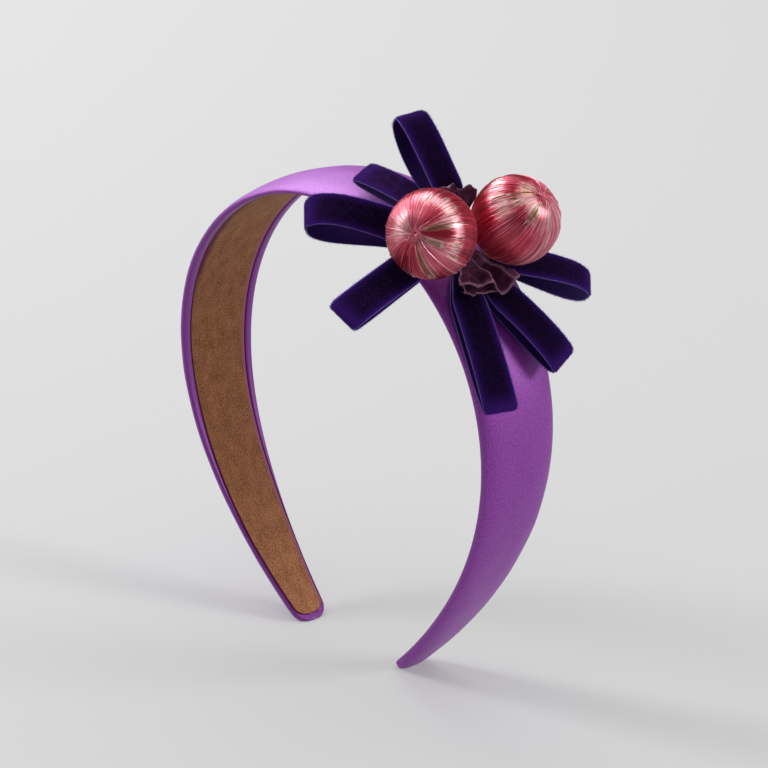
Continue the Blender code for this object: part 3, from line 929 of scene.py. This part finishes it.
def makeLoop(node, finishes):
    row = loops[node]
    draw = random.Random(node)
    length, start = row[5], row[11]
    first = math.acos(1 - 2 * start / length)
    count = ribbon["stations"]
    sections = [loopSection(row, mix(first, 2 * math.pi - first, i / count)) for i in range(count + 1)]
    rings, cloth, frames = [], [], []
    run = 0.0
    for i, (centre, wide, half) in enumerate(sections):
        before, after = sections[max(i - 1, 0)][0], sections[min(i + 1, count)][0]
        through = (after - before).cross(wide).normalized()
        if i:
            run += (centre - sections[i - 1][0]).length
        frames.append((centre, wide, through, half, run))
        shape = ribbonShape(half)
        ring = []
        for y, out in shape:
            puff = 0.05 * ripple(run * 0.6, y * 0.6, 2.0) if out > groundTop else 0.0
            ring.append(trim @ (centre + wide * y + through * (out + puff)))
        rings.append(ring)
        cloth.append([(run * 0.1, y * 0.1) for y, out in shape + shape[:1]])
    pile = MeshPile()
    loftRings(pile, rings, cloth, ribbonSlot)
    # the bent mark carries the painted sheen at the fold
    pile.marks = [foldSheenAt(section[4], run) for section in frames for _ in rings[0]]
    tufts = MeshPile()
    addTufts(tufts, frames, draw)
    addBristles(tufts, frames, draw)
    name = node.replace("_", " ").title().replace(" ", "").replace("Velvet", "velvet")
    made = pile.make(name, finishes, mark="bent")
    fur = tufts.make(name.replace("Loop", "Pile"), finishes[:1], sharp=180, mark="bent")
    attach(fur, "root")
    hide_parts(node)
    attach(made, "root")


ruffle = {
    # along, across, height, half spread, fold height
    "rows": (
        (-15.5, 4.5, 9.9, 6.2, 0.9), (-12.0, 3.5, 9.5, 4.8, 0.7), (-8.5, 0.8, 8.1, 3.8, 0.5),
        (-5.0, -1.5, 4.6, 3.0, 0.3), (-2.0, -1.2, 2.0, 3.2, 0.1), (1.0, -0.4, 2.5, 4.2, 0.1),
        (4.0, -0.9, 4.0, 5.0, 0.5), (8.0, -3.2, 5.8, 6.2, 1.3), (11.5, -3.1, 7.0, 8.6, 2.0),
        (15.0, -2.6, 7.1, 10.8, 2.1),
    ),
    "flap": (
        (8.5, -5.0, 4.3, 4.4, 0.2), (10.5, -5.2, 4.4, 5.0, 0.3),
        (13.0, -5.4, 4.5, 5.6, 0.4), (15.0, -5.6, 4.6, 6.2, 0.5),
    ),
    "ridges": (-0.2, 0.5, 0.1, 1.3, -0.45, -0.8, 1.2, 0.3, -0.6),
    "flapRidges": (0.0, 0.6, -0.4, 0.8, -0.6, 0.5, -0.2),
    "endReach": (-3.0, -1.2, -0.6, 0.2, 1.2, 2.6, 1.6, 0.0, -1.2),
    "topReach": (-1.2, -1.0, -0.4, -1.0, 0.2, 0.6, 1.0, 1.6, 2.2),
    "flapReach": (-1.6, 0.2, -0.6, 0.7, 0.0, 1.0, 0.6),
    "wall": 0.5,
    "crushedAndSheenRidges": (-0.26, 0.47),  # where the fold ridges are painted pale, across: crushed pile with painted highlight
    "edgeWear": 0.85,
    "ridgeCrushAndSheen": 0.55,
    "flatSize": (0.040, 0.018),  # in metres
    "plum": (0.020, 0.0040, 0.012),
    "plumLight": (0.078, 0.017, 0.047),
    "wearAndSheen": (0.28, 0.13, 0.21),
    "frayLength": 0.7,
    "frayWidth": 0.09,
    "frayCount": 380,
    "frayWorn": 0.75,
}


def ruffleFinish():
    plum, tree, shader = newFinish("plumVelvet", {
        "Roughness": 0.9, "Sheen Weight": 0.14, "Sheen Roughness": 0.2, "Sheen Tint": (0.62, 0.22, 0.48, 1.0),
        "Specular IOR Level": 0.05})
    crush = clothNoise(tree, (3.0, 3.0), 2.0, 4.0, 0.6)
    colour = colourRamp(tree, crush, ((0.35, ruffle["plum"]), (0.7, ruffle["plumLight"])))
    # worn pale edges, and fold ridges that are crushed pile with painted highlight
    shaded = mixColours(tree, markOf(tree, "wearAndSheen"), colour, (*ruffle["wearAndSheen"], 1.0))
    tree.links.new(shaded, shader.inputs["Base Color"])
    return plum


def rufflePoint(rows, ridges, position, share, reaches):
    along, across, height, half, fold = (spline([row[k] for row in rows], position) for k in range(5))
    rise = spline(ridges, (share + 1) / 2)
    crush = 0.4 * fold * ripple(along * 0.35, share * 5.0, 1.0)
    for reach, place in reaches:
        along += spline(reach, (share + 1) / 2) * smooth(1 - abs(position - place) / 0.25)
    along += 0.3 * fold * ripple(share * 9, position * 3, 7)
    return Vector((along, across + half * share, height + fold * rise + crush))


# a thin closed sheet; returns its outline too, for the fray
def addSheet(pile, rows, ridges, reaches, sections, acrossCount, crushedAndSheenRidges):
    rings, cloth, grid = [], [], []
    for i in range(sections + 1):
        position = i / sections
        shares = [2 * j / acrossCount - 1 for j in range(acrossCount + 1)]
        row = [rufflePoint(rows, ridges, position, share, reaches) for share in shares]
        grid.append(row)
        lift = Vector((0, 0, ruffle["wall"] / 2))
        rings.append([trim @ (p + lift) for p in row] + [trim @ (p - lift) for p in reversed(row)])
        line = [(p.x * 0.1, p.y * 0.1) for p in row]
        cloth.append(line + list(reversed(line)) + line[:1])
        wearAndRidgeSheen = []
        for share in shares:
            edge = bell(1 - abs(share), 0.024) + bell(1 - position, 0.015) + bell(position, 0.02)
            # pale lines along the fold ridges: crushed pile with painted highlight
            ridge = max([bell(share - place, 0.022) for place in crushedAndSheenRidges] + [0.0])
            ridge *= smooth(position * 4 - 2.2)
            wearAndRidgeSheen.append(min(ruffle["edgeWear"] * edge + ruffle["ridgeCrushAndSheen"] * ridge, 1.0))
        pile.marks += wearAndRidgeSheen + list(reversed(wearAndRidgeSheen))
    loftRings(pile, rings, cloth)
    border = [(grid[-1][j], grid[-1][j] - grid[-3][j]) for j in range(acrossCount + 1)]
    for side, inside in ((0, 2), (acrossCount, acrossCount - 2)):
        border += [(row[side], row[side] - row[inside]) for row in grid[int(sections * 0.8):]]
    return border


def makeRuffle():
    pile = MeshPile()
    reaches = ((ruffle["endReach"], 1.0), (ruffle["topReach"], 0.0))
    border = addSheet(pile, ruffle["rows"], ruffle["ridges"], reaches, 96, 80, ruffle["crushedAndSheenRidges"])
    border += addSheet(pile, ruffle["flap"], ruffle["flapRidges"], ((ruffle["flapReach"], 1.0),), 30, 60, ())
    finish = ruffleFinish()
    made = pile.make("gatheredRuffle", [finish], mark="wearAndSheen")
    draw = random.Random("fray")
    fray = MeshPile()
    half = ruffle["frayWidth"] / 2
    for _ in range(ruffle["frayCount"]):
        place, outward = border[draw.randrange(len(border))]
        way = outward.normalized() + Vector([draw.gauss(0, 0.45) for _ in range(3)])
        start = place - outward.normalized() * 0.25
        tip = start + way.normalized() * ruffle["frayLength"] * (0.35 + 0.9 * draw.random())
        side = way.cross(Vector((draw.random(), draw.random(), 1.0))).normalized() * half
        up = side.cross(way).normalized() * half
        corners = (start + side, start - side + up, start - side - up, tip)
        fray.addSpike([trim @ p for p in corners], (0.0, 0.0))
        fray.marks += [ruffle["frayWorn"]] * 4
    threads = fray.make("ruffleFray", [finish], sharp=180, mark="wearAndSheen")
    for piece in (made, threads):
        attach(piece, "root")
    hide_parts("gathered_ruffle")


makeCamera()
makeFloor()
makeLights()
print("stage: camera, floor and light")
makeBand()
makeLining()
print("stage: band and lining")
silk = threadFinish()
for key in balls:
    makeBall(key, silk)
print("stage: thread balls")
ribbonFinishes = [pileFinish(), backFinish(), edgeFinish()]
# the small loop's pile is painted brighter, as sheen
sheenLitFinishes = [pileFinish("sheenLitPile", ribbon["sheenLift"])] + ribbonFinishes[1:]
for node in loops:
    makeLoop(node, sheenLitFinishes if node == "velvet_loop_small" else ribbonFinishes)
print("stage: velvet loops")
makeRuffle()
print("stage: ruffle")
